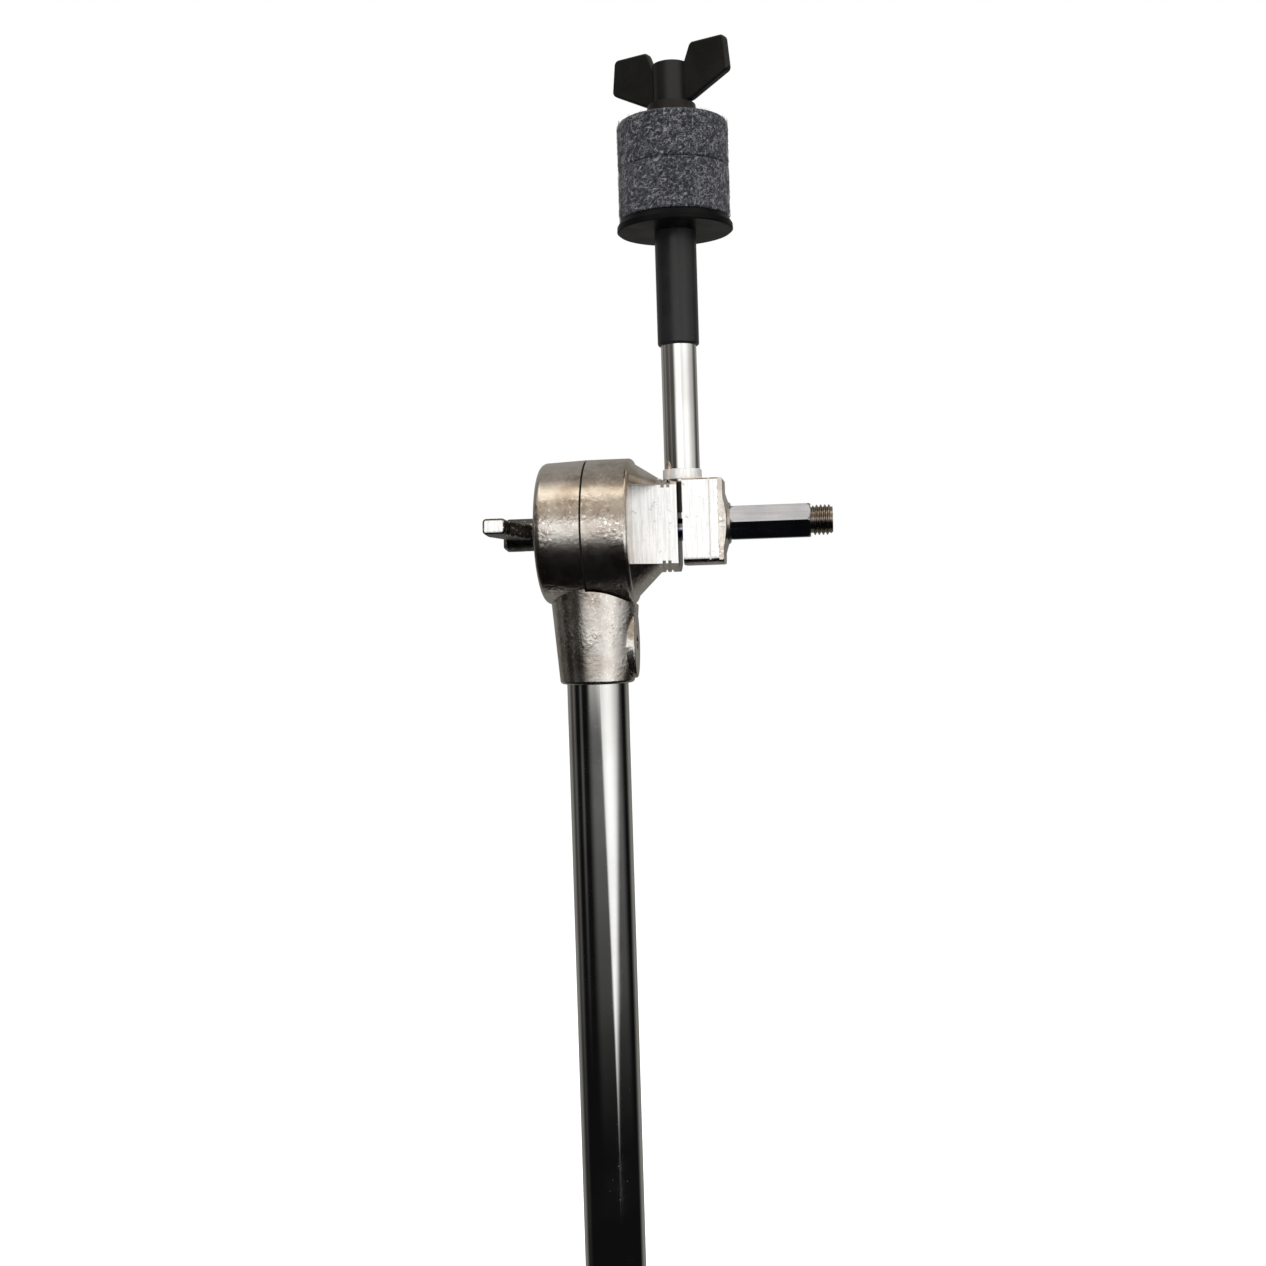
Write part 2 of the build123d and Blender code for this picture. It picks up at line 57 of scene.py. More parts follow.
# tilter, measured along X from the tubes' axis and up from the tilter's axis
FLATS_FROM, FLATS_TO = 15.4 * MM, 45.8 * MM     # ground faces on the neck and on the loose jaw
FLATS_OUT = 9.05 * MM                           # how far in front and behind they lie
GAP_FROM, GAP_TO = 31.25 * MM, 33.45 * MM       # gap between the two jaws
COLLAR_RISE = 17.8 * MM                         # underside of the ring on the post
BELLY_TILT = 0.085                              # how far a bellied face turns up, as a slope
WING_REACH = 19.25 * MM                         # where the end faces of the tilter's wing nut begin
SEAT_RISE = 118 * MM                            # the black plastic is matt up to here, glossy above

# hex stud, measured back from its tip
THREAD_LENGTH, BAR_LENGTH = 7.8 * MM, 28.4 * MM
CREST, ROOT, PITCH = 5.4 * MM, 4.55 * MM, 1.45 * MM
CORNER_R, SPIGOT_R = 6.80 * MM, 3.4 * MM
STUD_SIDES, BAR_ROWS, THREAD_ROWS = 96, 24, 84

# felts
FELT_HOLE = 6.2 * MM
FELT_WRAP_R = 19.9 * MM                         # radius at which the fibre pattern is wrapped on
FELT_SIDES, FELT_SPACING = 220, 0.55 * MM
FIBRES, FIBRE_STEPS, FIBRE_SIDES = 2600, 4, 3

CAMERA_AT = Vector((0.0785, -0.5368, TILT_Z - 0.0250))
CAMERA_AZIMUTH, CAMERA_ELEVATION, CAMERA_ROLL = 6.92, 1.23, -1.75
LENS, SENSOR = 42.65, 36.0


# ---- node helpers -------------------------------------------------------------------------------
class Tree:
    """Adds nodes to a shader tree and wires them together."""

    def __init__(self, owner):
        owner.use_nodes = True
        self.tree = owner.node_tree
        self.tree.nodes.clear()

    def add(self, kind, inputs=(), **settings):
        node = self.tree.nodes.new(kind)
        for key, value in settings.items():
            setattr(node, key, value)
        for key, value in dict(inputs).items():
            self.plug(node.inputs[key], value)
        return node

    def plug(self, socket, value):
        if isinstance(value, bpy.types.NodeSocket):
            self.tree.links.new(value, socket)
        else:
            socket.default_value = value

    def math(self, operation, a, b=0.0, clamp=False):
        return self.add("ShaderNodeMath", {0: a, 1: b}, operation=operation, use_clamp=clamp).outputs[0]

    def step(self, value, low, high, to_low=0.0, to_high=1.0):
        """Smooth step from to_low at low to to_high at high."""
        node = self.add("ShaderNodeMapRange", {0: value, 1: low, 2: high, 3: to_low, 4: to_high},
                        interpolation_type="SMOOTHSTEP")
        return node.outputs[0]

    def mix(self, factor, a, b, blend="MIX"):
        node = self.add("ShaderNodeMix", data_type="RGBA", blend_type=blend, clamp_factor=True)
        for socket, value in zip((node.inputs[0], node.inputs[6], node.inputs[7]), (factor, a, b)):
            self.plug(socket, value)
        return node.outputs[2]

    def object_point(self):
        return self.add("ShaderNodeTexCoord").outputs["Object"]

    def scaled(self, vector, scale):
        return self.add("ShaderNodeMapping", {"Vector": vector, "Scale": scale}).outputs[0]

    def turned(self, vector, angle):
        return self.add("ShaderNodeMapping", {"Vector": vector, "Rotation": (0, 0, angle)}).outputs[0]

    def noise(self, vector, scale, detail=3.0, rough=0.55, distortion=0.0):
        node = self.add("ShaderNodeTexNoise", {"Vector": vector, "Scale": scale, "Detail": detail,
                                               "Roughness": rough, "Distortion": distortion})
        return node.outputs[0]

    def split(self, vector):
        return self.add("ShaderNodeSeparateXYZ", {0: vector}).outputs

    def arrow(self, operation, inputs):
        return self.add("ShaderNodeVectorMath", inputs, operation=operation).outputs[0]

    def between(self, value, low, high, soft):
        """1 between low and high and 0 outside, with a smooth edge of 2 * soft at each end."""
        rise = self.step(value, low - soft, low + soft)
        return self.math("MULTIPLY", rise, self.step(value, high + soft, high - soft))

    def bump(self, height, strength, distance, normal=None):
        inputs = {"Height": height, "Strength": strength, "Distance": distance}
        if normal is not None:
            inputs["Normal"] = normal
        return self.add("ShaderNodeBump", inputs).outputs[0]

    def surface(self, inputs):
        shader = self.add("ShaderNodeBsdfPrincipled", inputs)
        self.add("ShaderNodeOutputMaterial", {"Surface": shader.outputs[0]})


def rgb(red, green, blue):
    return (red, green, blue, 1.0)


def new_material(name):
    material = bpy.data.materials.new(name)
    return material, Tree(material)


# ---- materials ----------------------------------------------------------------------------------
def chrome(name, low, high, scratch_along, gap_shade_heights=None):
    """Polished plate: faint haze, small pits and dust, and fine scratches along the part.

    gap_shade_heights is a range of heights where the plate is rougher and painted dark as shade, inside the
    clamp's gap.
    """
    material, t = new_material(name)
    point = t.object_point()
    haze = t.noise(point, 55, 4)
    pits = t.step(t.noise(point, 1500, 2), 0.70, 0.80)
    scratches = t.noise(t.scaled(point, scratch_along), 900, 4, 0.7)
    colour = t.mix(t.step(haze, 0.3, 0.7), low, high)
    colour = t.mix(t.math("MULTIPLY", pits, 0.35), colour, rgb(0.35, 0.33, 0.31))
    rough = t.step(haze, 0.3, 0.75, 0.035, 0.10)
    if gap_shade_heights is not None:
        z = t.split(point)[2]
        dull_shade = t.math("MULTIPLY", t.step(z, gap_shade_heights[0], gap_shade_heights[0] + MM), t.step(z, gap_shade_heights[1], gap_shade_heights[1] - MM))
        # painted shade: inside the clamp's gap the plate is coloured near black, and it is also made
        # rougher
        colour = t.mix(dull_shade, colour, t.mix(haze, rgb(0.03, 0.028, 0.025), rgb(0.10, 0.09, 0.08)))
        rough = t.math("ADD", rough, t.math("MULTIPLY", dull_shade, 0.4))
    rough = t.math("ADD", rough, t.math("MULTIPLY", pits, 0.25))
    rough = t.math("ADD", rough, t.step(scratches, 0.62, 0.72, 0.0, 0.10))
    height = t.math("SUBTRACT", t.math("MULTIPLY", scratches, 0.35), pits)
    t.surface({"Base Color": colour, "Metallic": 1.0, "Roughness": rough,
               "Normal": t.bump(height, 0.10, 0.00004)})
    return material


def casting(name, low, high, rough_low, rough_high, relief=0.3, ground=None):
    """Plated casting: cast texture under bright plate, in places smooth and in places with painted glints
    and painted shade in its grain.

    ground is a function that returns masks of the ground faces and of the recesses painted dark as shade.
    """
    material, t = new_material(name)
    point = t.object_point()
    rise = t.math("SUBTRACT", t.split(point)[2], TILT_Z)
    stain = t.noise(point, 75, 5, 0.65)
    grain = t.noise(point, 1500, 3, 0.6)
    peel = t.noise(point, 800, 2, 0.5)
    zone = t.step(t.noise(point, 95, 2, 0.5), 0.40, 0.62, 0.25, 1.0)
    zone = t.math("MULTIPLY", zone, t.step(rise, 6 * MM, 14 * MM, 1.0, 0.35))
    colour = t.mix(t.step(stain, 0.36, 0.62), low, high)
    # painted glints on the grain's high spots and painted shade in its low spots, strongest low on the
    # tilter
    painted_glints = t.math("MULTIPLY", t.step(peel, 0.58, 0.68), zone)
    painted_pit_shade = t.math("MULTIPLY", t.step(peel, 0.40, 0.30, 0.0, 0.5), zone)
    colour = t.mix(painted_glints, colour, rgb(0.98, 0.97, 0.95))
    colour = t.mix(painted_pit_shade, colour, rgb(0.14, 0.115, 0.095))
    rough = t.step(stain, 0.3, 0.7, rough_low, rough_high)
    rough = t.math("ADD", rough, t.math("MULTIPLY", grain, 0.06))
    height = t.math("MULTIPLY", t.math("ADD", t.math("MULTIPLY", grain, 0.15), peel), zone)
    # the tilter's front is a little bellied, so its lower half faces less downwards than a straight side
    low_down = t.step(rise, 2 * MM, -5 * MM)
    belly = t.arrow("SCALE", {0: (0, 0, BELLY_TILT), "Scale": low_down})
    facing = t.add("ShaderNodeNewGeometry").outputs["Normal"]
    facing = t.arrow("NORMALIZE", {0: t.arrow("ADD", {0: facing, 1: belly})})
    if ground is None:
        t.surface({"Base Color": colour, "Metallic": 1.0, "Roughness": rough,
                   "Normal": t.bump(height, relief, 0.0004, facing)})
        return material
    mask, recess_shade = ground(t, point)
    lines = t.noise(t.scaled(point, (1.0, 1.0, 0.05)), 1500, 4, 0.75)
    blotch = t.noise(point, 420, 3, 0.6, 1.5)
    bright = t.mix(t.step(lines, 0.36, 0.60), rgb(0.74, 0.74, 0.73), rgb(0.98, 0.98, 0.97))
    bright = t.mix(t.step(blotch, 0.60, 0.72, 0.0, 0.6), bright, rgb(0.42, 0.42, 0.41))
    colour = t.mix(mask, colour, bright)
    # painted shade: the recesses are coloured near black
    colour = t.mix(recess_shade, colour, t.mix(stain, rgb(0.02, 0.018, 0.016), rgb(0.07, 0.06, 0.05)))
    ground_rough = t.math("ADD", t.step(lines, 0.3, 0.7, 0.30, 0.44), t.math("MULTIPLY", blotch, 0.08))
    rough = t.add("ShaderNodeMix", {0: mask, 2: rough, 3: ground_rough}).outputs[0]
    cut = t.bump(t.math("MULTIPLY", lines, mask), 0.4, 0.00016, facing)
    relief_here = t.math("MULTIPLY", height, t.math("SUBTRACT", 1.0, mask))
    t.surface({"Base Color": colour, "Metallic": t.step(mask, 0.0, 1.0, 1.0, 0.55), "Roughness": rough,
               "Normal": t.bump(relief_here, relief, 0.0004, cut)})
    return material


def tilter_flats(t, point):
    """Masks of the ground faces (neck, cap and post collar) and of the gap between the jaws, painted dark
    as shade.
    """
    x, y, z = t.split(point)
    normal = t.split(t.add("ShaderNodeNewGeometry").outputs["Normal"])
    ragged = t.math("MULTIPLY", t.math("SUBTRACT", t.noise(point, 900, 3, 0.7), 0.5), 0.0016)
    start = t.math("ADD", x, ragged)
    inside = t.between(start, FLATS_FROM, FLATS_TO, 0.2 * MM)
    outer = t.step(t.math("ABSOLUTE", y), FLATS_OUT - 0.15 * MM, FLATS_OUT + 0.15 * MM)
    facing = t.step(t.math("ABSOLUTE", normal[1]), 0.90, 0.99)
    face = t.math("MULTIPLY", t.math("MULTIPLY", inside, outer), facing)
    rise = t.math("SUBTRACT", z, TILT_Z)
    above = t.step(rise, COLLAR_RISE - 0.2 * MM, COLLAR_RISE + 0.2 * MM)
    collar = t.math("MULTIPLY", above, t.step(x, 24.0 * MM, 24.5 * MM))
    # painted shade: the jaws' inner walls across the gap
    across = t.between(x, GAP_FROM, GAP_TO, 0.05 * MM)
    gap_wall_shade = t.math("MULTIPLY", across, t.step(t.math("ABSOLUTE", normal[0]), 0.6, 0.9))
    return t.math("MAXIMUM", face, t.math("MULTIPLY", collar, 0.8)), gap_wall_shade


def wing_tips(t, point):
    """Mask of the ground end faces of the tilter's wing nut; there is no recess painted dark as shade."""
    place = t.split(point)
    normal = t.split(t.add("ShaderNodeNewGeometry").outputs["Normal"])
    facing = t.step(t.math("ABSOLUTE", normal[1]), 0.80, 0.95)
    far = t.step(t.math("ABSOLUTE", place[1]), WING_REACH - 0.25 * MM, WING_REACH + 0.25 * MM)
    far = t.math("MULTIPLY", far, t.step(place[2], TILT_Z - 30 * MM, TILT_Z - 25 * MM))
    return t.math("MULTIPLY", facing, far), 0.0


def machined(name, low, high, rough, lines_scale, thread_from=None):
    """Turned or drawn bright steel with fine tool lines.

    thread_from is the X from which the hex stud is its thread, which is darker and warmer.
    """
    material, t = new_material(name)
    point = t.object_point()
    lines = t.noise(t.scaled(point, lines_scale), 1200, 4, 0.7)
    stain = t.noise(point, 130, 4)
    colour = t.mix(t.step(stain, 0.3, 0.75), low, high)
    if thread_from is not None:
        place = t.split(point)
        past = t.math("MULTIPLY", t.step(place[0], thread_from, thread_from + 0.1 * MM),
                      t.step(place[2], TILT_Z - 20 * MM, TILT_Z - 10 * MM))
        colour = t.mix(past, colour, rgb(0.36, 0.32, 0.275))
    polish = t.step(stain, 0.3, 0.7, rough * 0.8, rough * 1.25)
    polish = t.math("ADD", polish, t.step(lines, 0.4, 0.8, 0.0, 0.12))
    t.surface({"Base Color": colour, "Metallic": 1.0, "Roughness": polish,
               "Normal": t.bump(lines, 0.25, 0.00005)})
    return material


def plastic(name, low, high, rough, grain_scale, grain_depth, gloss, streaks=(1, 1, 1), matt_below=None):
    """Moulded plastic: fine spark-eroded grain, slight flow marks and pale high spots.

    matt_below is a height under which it is less glossy.
    """
    material, t = new_material(name)
    point = t.object_point()
    if matt_below is not None:
        gloss = t.step(t.split(point)[2], matt_below, matt_below + 4 * MM, 0.06, gloss)
    grain = t.noise(t.scaled(point, streaks), grain_scale, 3, 0.6)
    flow = t.noise(point, 90, 3)
    colour = t.mix(t.step(flow, 0.3, 0.7), low, high)
    colour = t.mix(t.step(grain, 0.68, 0.80, 0.0, 0.25), colour, rgb(0.09, 0.09, 0.09))
    polish = t.step(flow, 0.3, 0.7, rough - 0.05, rough + 0.06)
    polish = t.math("ADD", polish, t.math("MULTIPLY", grain, 0.08))
    t.surface({"Base Color": colour, "Roughness": polish, "IOR": 1.48, "Specular IOR Level": gloss,
               "Normal": t.bump(grain, 0.3, grain_depth)})
    return material


def rubber(name):
    """Moulded rubber: matt, dusty and a little scuffed."""
    material, t = new_material(name)
    point = t.object_point()
    grain = t.noise(point, 1400, 4, 0.65)
    dust = t.noise(point, 60, 5, 0.7)
    colour = t.mix(t.step(dust, 0.45, 0.75), rgb(0.018, 0.018, 0.018), rgb(0.055, 0.053, 0.050))
    t.surface({"Base Color": colour, "Roughness": t.step(grain, 0.3, 0.7, 0.62, 0.85),
               "Normal": t.bump(grain, 0.45, 0.00015)})
    return material


def felt(name):
    """Pressed wool: dark blue-grey with pale and black fibres lying in every direction."""
    material, t = new_material(name)
    x, y, z = t.split(t.object_point())
    around = t.math("ARCTAN2", t.math("SUBTRACT", x, POST_X), y)
    across = t.math("MULTIPLY", around, FELT_WRAP_R)
    wrapped = t.add("ShaderNodeCombineXYZ", {0: across, 1: z, 2: 0.0}).outputs[0]
    coarse = ((0.0, 1.0), (1.57, 1.1), (0.7, 0.9), (-0.7, 1.05))
    fine = ((0.2, 2.1), (-1.3, 2.3), (1.0, 2.0))
    fibres = None
    for turn, scale in coarse + fine:
        along = t.scaled(t.turned(wrapped, turn), (scale * 0.3, scale * 1.5, 1))
        layer = t.step(t.noise(along, 900, 2, 0.5, 0.5), 0.61, 0.66)
        fibres = layer if fibres is None else t.math("MAXIMUM", fibres, layer)
    clump = t.noise(wrapped, 800, 2, 0.6)
    dark = t.noise(t.scaled(t.turned(wrapped, 0.8), (0.6, 1.3, 1)), 900, 2, 0.5)
    colour = t.mix(t.step(clump, 0.38, 0.62), rgb(0.009, 0.011, 0.016), rgb(0.030, 0.031, 0.040))
    fibre_share = t.math("MULTIPLY", fibres, t.step(clump, 0.36, 0.60, 0.15, 1.0))
    colour = t.mix(fibre_share, colour, rgb(0.170, 0.167, 0.175))
    colour = t.mix(t.step(dark, 0.55, 0.60, 0.0, 0.9), colour, rgb(0.004, 0.005, 0.007))
    height = t.math("ADD", t.math("MULTIPLY", fibres, 0.6), clump)
    t.surface({"Base Color": colour, "Roughness": 0.95, "Sheen Weight": 0.06, "Sheen Roughness": 0.5,
               "Normal": t.bump(height, 0.8, 0.00045)})
    return material


def wool_fibre(name):
    """Single loose fibres: each one pale, grey or black."""
    material, t = new_material(name)
    point = t.object_point()
    shade = t.noise(point, 210, 2, 0.4)
    colour = t.mix(t.step(shade, 0.46, 0.60), rgb(0.012, 0.012, 0.016), rgb(0.24, 0.235, 0.245))
    t.surface({"Base Color": colour, "Roughness": t.step(shade, 0.3, 0.7, 0.7, 0.9), "Sheen Weight": 0.1,
               "Normal": t.bump(t.noise(point, 4000, 2), 0.3, 0.00003)})
    return material


def paper_white(name):
    """Backdrop paper, which glows a little so that it stays white."""
    material, t = new_material(name)
    fibre = t.noise(t.object_point(), 8, 3)
    colour = t.mix(fibre, rgb(0.93, 0.93, 0.93), rgb(0.96, 0.96, 0.96))
    t.surface({"Base Color": colour, "Roughness": 0.9, "Normal": t.bump(fibre, 0.02, 0.0005),
               "Emission Color": rgb(1, 1, 1), "Emission Strength": 0.32})
    return material


MATERIALS = {
    "chrome_plate": chrome("chrome_plate", rgb(0.72, 0.71, 0.69), rgb(0.82, 0.82, 0.81), (1, 1, 0.02),
                           gap_shade_heights=(TILT_Z - 20 * MM, TILT_Z + 17.4 * MM)),
    "leg_steel": chrome("leg_steel", rgb(0.66, 0.66, 0.66), rgb(0.78, 0.78, 0.78), (0.15, 0.15, 0.15)),
    "tilter_casting": casting("tilter_casting", rgb(0.50, 0.44, 0.385), rgb(0.75, 0.715, 0.67),
                              0.17, 0.22, relief=0.34, ground=tilter_flats),
    "clamp_casting": casting("clamp_casting", rgb(0.55, 0.54, 0.52), rgb(0.70, 0.69, 0.67),
                             0.20, 0.30, relief=0.12),
    "plated_steel": machined("plated_steel", rgb(0.32, 0.345, 0.41), rgb(0.43, 0.455, 0.53),
                             0.15, (0.05, 1, 1), thread_from=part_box("hex_stud")[1].x - THREAD_LENGTH),
    "screw_casting": casting("screw_casting", rgb(0.08, 0.075, 0.07), rgb(0.22, 0.21, 0.20),
                             0.24, 0.38, relief=0.25, ground=wing_tips),
    "spring_steel": machined("spring_steel", rgb(0.30, 0.29, 0.28), rgb(0.45, 0.44, 0.42), 0.25, (1, 1, 1)),
    "black_plastic": plastic("black_plastic", rgb(0.0018, 0.0018, 0.002), rgb(0.004, 0.004, 0.004),
                             0.27, 1600, 0.00005, gloss=0.55, matt_below=TILT_Z + SEAT_RISE),
    "sleeve_plastic": plastic("sleeve_plastic", rgb(0.005, 0.005, 0.0055), rgb(0.009, 0.009, 0.0095),
                              0.30, 1200, 0.00007, gloss=0.50, streaks=(1, 1, 0.2)),
    "nylon": plastic("nylon", rgb(0.008, 0.008, 0.008), rgb(0.015, 0.015, 0.015),
                     0.45, 1100, 0.00006, gloss=0.12),
    "felt": felt("felt"),
    "foot_rubber": rubber("foot_rubber"),
}
WOOL_FIBRE = wool_fibre("wool_fibre")


def dress_cad():
    """Gives every CAD node the material of its slot."""
    slots = {part["node"]: part["material_slot"] for part in frame["record"]["subparts"]}
    for name, node in frame["nodes"].items():
        for slot in node.material_slots:
            slot.material = MATERIALS[slots[name]]


# ---- pieces made here ---------------------------------------------------------------------------
def mesh_object(name, vertices, faces, material):
    mesh = bpy.data.meshes.new(name)
    mesh.from_pydata(vertices, [], faces)
    mesh.validate()
    mesh.materials.append(material)
    piece = bpy.data.objects.new(name, mesh)
    bpy.context.scene.collection.objects.link(piece)
    for polygon in mesh.polygons:
        polygon.use_smooth = True
    return piece


def closed_lathe(profile, around, centre, wobble):
    """Vertices and faces of a closed profile of (radius, height) points, turned about a vertical axis."""
    vertices, faces = [], []
    count = len(profile)
    for i in range(around):
        angle = 2 * math.pi * i / around
        for radius, height in profile:
            point = Vector((radius * math.cos(angle), radius * math.sin(angle), height))
            vertices.append(centre + point + wobble(point, angle))
    for i in range(around):
        j = (i + 1) % around
        for k in range(count):
            m = (k + 1) % count
            faces.append((i * count + k, j * count + k, j * count + m, i * count + m))
    return vertices, faces


def rounded_ring(inner, outer, low, high, corner, spacing):
    """Profile of a washer with rounded outer edges, as (radius, height) points."""
    points = []

    def run(start, end):
        steps = max(2, round((Vector(end) - Vector(start)).length / spacing))
        for i in range(steps):
            points.append(tuple(Vector(start).lerp(Vector(end), i / steps)))

    def bend(centre, start, end):
        for i in range(6):
            angle = math.radians(start + (end - start) * i / 6)
            points.append((centre[0] + corner * math.cos(angle), centre[1] + corner * math.sin(angle)))

    run((inner, low), (outer - corner, low))
    bend((outer - corner, low + corner), -90, 0)
    run((outer, low + corner), (outer, high - corner))
    bend((outer - corner, high - corner), 0, 90)
    run((outer - corner, high), (inner, high))
    run((inner, high), (inner, low))
    return points


def felt_washer(node, body, seed, corner):
    """Pressed felt washer: slightly uneven, with soft edges and loose surface fibres."""
    low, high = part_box(node)
    centre = Vector(((low.x + high.x) / 2, (low.y + high.y) / 2, 0))
    outer = (high.x - low.x) / 2
    level = (low.z + high.z) / 2
    shift = Vector((seed * 3.7, seed * 1.3, seed * 2.1))

    def wobble(point, angle):
        reach = (Vector((point.x, point.y)).length - FELT_HOLE) / (outer - FELT_HOLE)
        rim = max(0.0, min(1.0, reach))
        out = Vector((math.cos(angle), math.sin(angle), 0))
        broad = noise.noise(point * 90 + shift)
        fine = noise.fractal(point * 700 + shift, 0.8, 2.0, 3)
        end = (point.z - level) / (high.z - level)
        radial = out * (0.22 * broad + 0.16 * fine - 0.10) * rim
        flat = Vector((0, 0, -end * (0.05 + 0.12 * abs(broad)) * (0.3 + rim)))
        return (radial + flat) * MM

    profile = rounded_ring(FELT_HOLE, outer, low.z, high.z, corner, FELT_SPACING)
    vertices, faces = closed_lathe(profile, FELT_SIDES, centre, wobble)
    piece = mesh_object(f"{node}_wool", vertices, faces, MATERIALS["felt"])
    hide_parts(node)
    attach(piece, body)
    fuzz(f"{node}_fibres", body, centre, outer, low.z, high.z, seed)


def fuzz(name, body, centre, outer, low, high, seed):
    """Loose wool fibres that lie along the felt's rim and stand a little proud of it."""
    rng = random.Random(seed)
    vertices, faces = [], []
    for _ in range(FIBRES):
        angle = rng.uniform(0, 2 * math.pi)
        height = rng.uniform(low + 0.4 * MM, high - 0.4 * MM)
        heading = rng.uniform(0, 2 * math.pi)
        length = rng.uniform(0.7, 2.8) * MM
        lift = rng.uniform(0.02, 0.30) * MM
        radius = rng.uniform(0.025, 0.060) * MM
        base = len(vertices)
        for i in range(FIBRE_STEPS + 1):
            s = i / FIBRE_STEPS
            turn = angle + length * s * math.cos(heading) / outer
            rise = height + length * s * math.sin(heading) + 0.12 * MM * math.sin(3 * s + angle * 7)
            rise = min(max(rise, low + 0.1 * MM), high - 0.1 * MM)
            out = outer - 0.08 * MM + lift * math.sin(math.pi * (0.15 + 0.8 * s))
            spot = centre + Vector((out * math.cos(turn), out * math.sin(turn), rise))
            radial = Vector((math.cos(turn), math.sin(turn), 0))
            for k in range(FIBRE_SIDES):
                around = 2 * math.pi * k / FIBRE_SIDES
                offset = radial * math.cos(around) + Vector((0, 0, 1)) * math.sin(around)
                vertices.append(spot + offset * radius * (1.0 - 0.5 * abs(2 * s - 1)))
        for i in range(FIBRE_STEPS):
            for k in range(FIBRE_SIDES):
                m = (k + 1) % FIBRE_SIDES
                row, after = base + FIBRE_SIDES * i, base + FIBRE_SIDES * (i + 1)
                faces.append((row + k, row + m, after + m, after + k))
        last = base + FIBRE_SIDES * FIBRE_STEPS
        faces.append(tuple(reversed(range(base, base + FIBRE_SIDES))))
        faces.append(tuple(range(last, last + FIBRE_SIDES)))
    piece = mesh_object(name, vertices, faces, WOOL_FIBRE)
    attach(piece, body)


def hex_stud():
    """Hex bar with dressed corners and a rolled thread, in place of the plain CAD stud."""
    low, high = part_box("hex_stud")
    centre = Vector((0, 0, (low.z + high.z) / 2))
    apothem = (high.z - low.z) / 2
    tip = high.x
    bar_end = tip - THREAD_LENGTH
    bar_start = bar_end - BAR_LENGTH
    angles = [2 * math.pi * i / STUD_SIDES for i in range(STUD_SIDES)]

    def circle(x, radius):
        return [(x, radius, angle) for angle in angles]

    def hexagon(x, limit):
        """Hex outline whose corners are cut back to the radius limit."""
        row = []
        for angle in angles:
            sector = (angle + math.pi / 6) % (math.pi / 3) - math.pi / 6
            row.append((x, min(apothem / math.cos(sector), limit), angle))
        return row

    def threaded(x):
        """Section of the thread, which winds left-handed and fades in at the bar and out at the tip."""
        fade_in = min(1.0, max(0.0, (x - bar_end - 0.3 * MM) / (0.7 * MM)))
        fade_out = min(1.0, max(0.0, (tip - 0.25 * MM - x) / (1.0 * MM)))
        row = []
        for angle in angles:
            phase = ((x - bar_end) / PITCH - angle / (2 * math.pi)) % 1.0
            ridge = max(0.0, 1.0 - abs(2 * phase - 1) * 1.25)
            row.append((x, ROOT + (CREST - ROOT) * min(1.0, ridge * 1.25) * fade_out * fade_in, angle))
        return row

    rows = [circle(low.x, SPIGOT_R - 0.1 * MM), circle(low.x + 0.2 * MM, SPIGOT_R),
            circle(bar_start - 0.01 * MM, SPIGOT_R)]
    for along, limit in ((0.0, 6.3), (0.3, 6.6), (0.9, 6.78)):
        rows.append(hexagon(bar_start + along * MM, limit * MM))
    for i in range(1, BAR_ROWS):
        rows.append(hexagon(bar_start + BAR_LENGTH * i / BAR_ROWS, CORNER_R))
    rows += [hexagon(bar_end - 0.9 * MM, 6.75 * MM), hexagon(bar_end - 0.35 * MM, 6.45 * MM)]
    rows += [circle(bar_end - 0.05 * MM, 5.85 * MM), circle(bar_end, 5.6 * MM)]
    rows.append(circle(bar_end + 0.02 * MM, ROOT))
    thread_start, thread_run = bar_end + 0.05 * MM, tip - bar_end - 0.15 * MM
    rows += [threaded(thread_start + thread_run * i / THREAD_ROWS) for i in range(THREAD_ROWS + 1)]
    rows += [circle(tip - 0.02 * MM, ROOT - 0.25 * MM), circle(tip, ROOT - 0.9 * MM)]
    vertices = [centre + Vector((x, radius * math.sin(angle), radius * math.cos(angle)))
                for row in rows for x, radius, angle in row]
    faces = []
    for i in range(len(rows) - 1):
        row, after = i * STUD_SIDES, (i + 1) * STUD_SIDES
        for k in range(STUD_SIDES):
            m = (k + 1) % STUD_SIDES
            faces.append((row + k, after + k, after + m, row + m))
    faces.append(tuple(range(STUD_SIDES)))
    faces.append(tuple(reversed(range(len(vertices) - STUD_SIDES, len(vertices)))))
    piece = mesh_object("hex_stud_threaded", vertices, faces, MATERIALS["plated_steel"])
    piece.data.set_sharp_from_angle(angle=math.radians(32))
    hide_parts("hex_stud")
    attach(piece, "clamp_jaw")


# ---- studio -------------------------------------------------------------------------------------
def aim(thing, at, target):
    thing.location = at
    thing.rotation_euler = (Vector(target) - Vector(at)).to_track_quat("-Z", "Y").to_euler()


def camera():
    """The camera at the photograph's viewing angle, rolled about its own axis."""
    a, e, roll = (math.radians(v) for v in (CAMERA_AZIMUTH, CAMERA_ELEVATION, CAMERA_ROLL))
    back = Vector((math.sin(a) * math.cos(e), -math.cos(a) * math.cos(e), math.sin(e)))
    level = Vector((math.cos(a), math.sin(a), 0))
    up = back.cross(level)
    right = level * math.cos(roll) + up * math.sin(roll)
    above = up * math.cos(roll) - level * math.sin(roll)
    data = bpy.data.cameras.new("camera")
    data.lens, data.sensor_width = LENS, SENSOR
    thing = bpy.data.objects.new("camera", data)
    bpy.context.scene.collection.objects.link(thing)
    rows = [[right[i], above[i], back[i], CAMERA_AT[i]] for i in range(3)] + [[0, 0, 0, 1]]
    thing.matrix_world = Matrix(rows)
    bpy.context.scene.camera = thing


def area_light(name, at, target, size, power):
    """Round lamp that lights the stand but isn't mirrored in it."""
    data = bpy.data.lights.new(name, "AREA")
    data.shape, data.size, data.energy = "DISK", size, power
    thing = bpy.data.objects.new(name, data)
    bpy.context.scene.collection.objects.link(thing)
    aim(thing, at, target)
    thing.visible_glossy = False


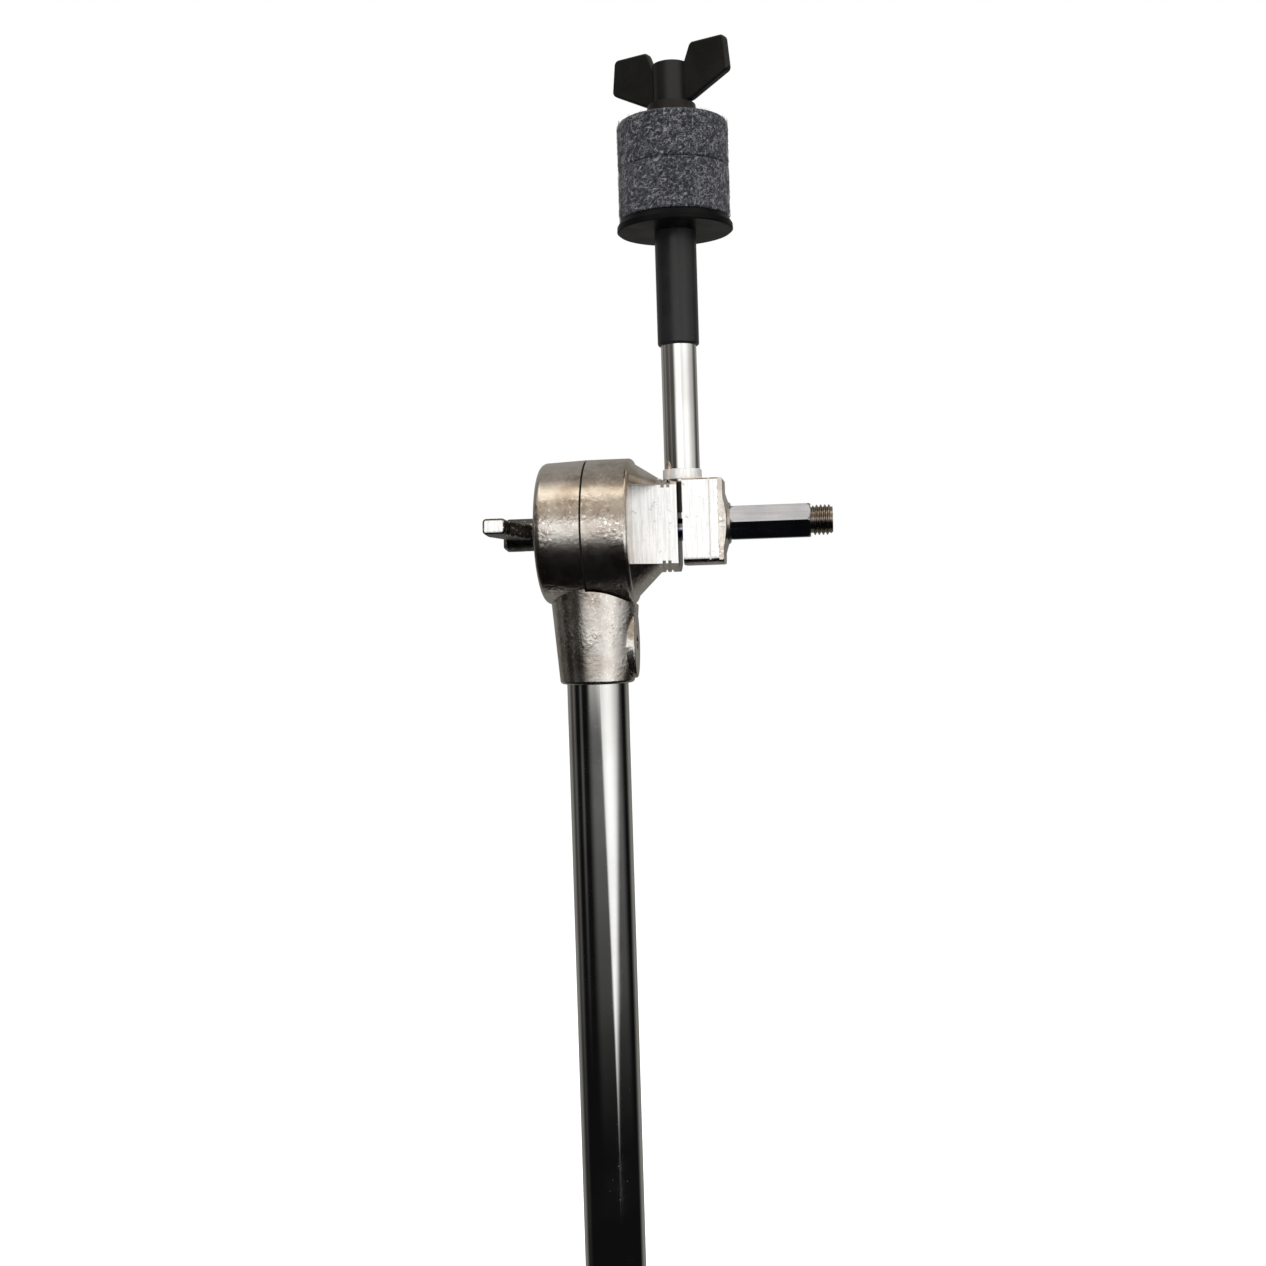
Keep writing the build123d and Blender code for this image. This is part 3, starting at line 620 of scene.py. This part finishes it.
def surroundings():
    """White to the eye, soft white as a lamp, and a dark room with windows and a ceiling in reflections.

    Azimuth is in degrees from the camera's side, positive to its right, and height is above the horizon.
    """
    world = bpy.data.worlds.new("studio")
    bpy.context.scene.world = world
    t = Tree(world)
    way = t.add("ShaderNodeTexCoord").outputs["Generated"]
    a = math.radians(CAMERA_AZIMUTH)

    def along(axis):
        return t.add("ShaderNodeVectorMath", {0: way, 1: axis}, operation="DOT_PRODUCT").outputs["Value"]

    side, front = along((math.cos(a), math.sin(a), 0)), along((math.sin(a), -math.cos(a), 0))
    azimuth = t.math("MULTIPLY", t.math("ARCTAN2", side, front), math.degrees(1))
    height = t.math("MULTIPLY", t.math("ARCSINE", along((0, 0, 1))), math.degrees(1))
    away = t.math("ABSOLUTE", azimuth)

    # the window in front: its lower edge drops to a corner on the camera's right
    off_corner = t.math("SUBTRACT", azimuth, 28)
    shallow = t.math("ADD", t.math("MULTIPLY", off_corner, -0.15), 11.9)
    left = t.math("MINIMUM", t.math("MULTIPLY", off_corner, -0.70), shallow)
    slant = t.math("MAXIMUM", t.math("MULTIPLY", off_corner, 0.28), left)
    over_edge = t.math("SUBTRACT", height, t.math("SUBTRACT", slant, 19))
    window = t.math("MULTIPLY", t.step(over_edge, -2.5, 4), t.between(azimuth, -30, 96, 16))
    window = t.math("MULTIPLY", window, t.step(height, 22, 15))
    window = t.math("MULTIPLY", window, t.step(azimuth, 36, 80, 1.0, 0.38))
    window = t.math("MULTIPLY", window, t.step(azimuth, 8, 32, 0.74, 1.0))
    glow = t.math("MULTIPLY", t.between(azimuth, -34, 90, 14), t.between(height, -14, 10, 7))
    sill = t.math("MULTIPLY", t.between(azimuth, -34, 8, 8), t.between(height, -3.5, 17, 2.0))

    # the wall above it, and the warm ceiling over the front half of the room
    wall = t.math("MULTIPLY", t.between(height, 18, 40, 5), t.between(azimuth, -50, 110, 20))
    ahead = t.step(away, 110, 80)
    cornice = t.math("MULTIPLY", t.between(height, 36, 80, 6), ahead)
    ceiling = t.math("MULTIPLY", t.between(height, 54, 69, 6), ahead)
    zenith = t.step(height, 76, 86)

    # dim light from behind, two narrow strips on the left, and a little from everywhere above
    rear = t.step(away, 112, 140)
    rear_strip = t.math("MULTIPLY", t.between(azimuth, -114, -98, 8), t.step(height, -30, 0))
    left_strip = t.math("MULTIPLY", t.between(azimuth, -74, -64, 5), t.step(height, -18, -6))
    above = t.step(height, -3, 12, 0.0, 0.10)

    room = rgb(0.006, 0.006, 0.0062)
    for amount, tint in ((window, (1.12, 1.12, 1.11)), (glow, (0.12, 0.12, 0.118)),
                         (sill, (0.50, 0.50, 0.49)), (wall, (0.36, 0.30, 0.24)),
                         (cornice, (0.40, 0.35, 0.28)), (ceiling, (1.10, 1.00, 0.85)),
                         (zenith, (0.20, 0.185, 0.165)), (rear, (0.22, 0.215, 0.20)),
                         (rear_strip, (0.12, 0.115, 0.11)), (left_strip, (0.08, 0.08, 0.078)),
                         (above, (1.0, 0.93, 0.85))):
        room = t.mix(1.0, room, t.arrow("SCALE", {0: tint, "Scale": amount}), "ADD")
    rays = t.add("ShaderNodeLightPath").outputs
    seen = t.mix(rays["Is Glossy Ray"], rgb(0.85, 0.85, 0.86), room)
    seen = t.mix(rays["Is Camera Ray"], seen, rgb(1, 1, 1))
    shader = t.add("ShaderNodeBackground", {"Color": seen, "Strength": 1.0})
    t.add("ShaderNodeOutputWorld", {"Surface": shader.outputs[0]})


def studio():
    corners = [(-9, -9, 0), (9, -9, 0), (9, 9, 0), (-9, 9, 0)]
    floor = mesh_object("floor", corners, [(0, 1, 2, 3)], paper_white("floor"))
    floor.visible_glossy = False
    area_light("key", (0.9, -1.3, 1.9), (0, 0, TILT_Z), 0.9, 26)
    area_light("fill", (-1.2, -1.0, 1.0), (0, 0, TILT_Z), 0.9, 6)
    area_light("top", (0, 0.4, 2.6), (0, 0, 0.4), 1.4, 30)
    surroundings()
    camera()
    bpy.context.scene.view_settings.view_transform = "Standard"


dress_cad()
felt_washer("lower_felt", "tilter_head", 11, 0.8 * MM)
felt_washer("upper_felt", "felt_top", 23, 1.3 * MM)
hex_stud()
studio()
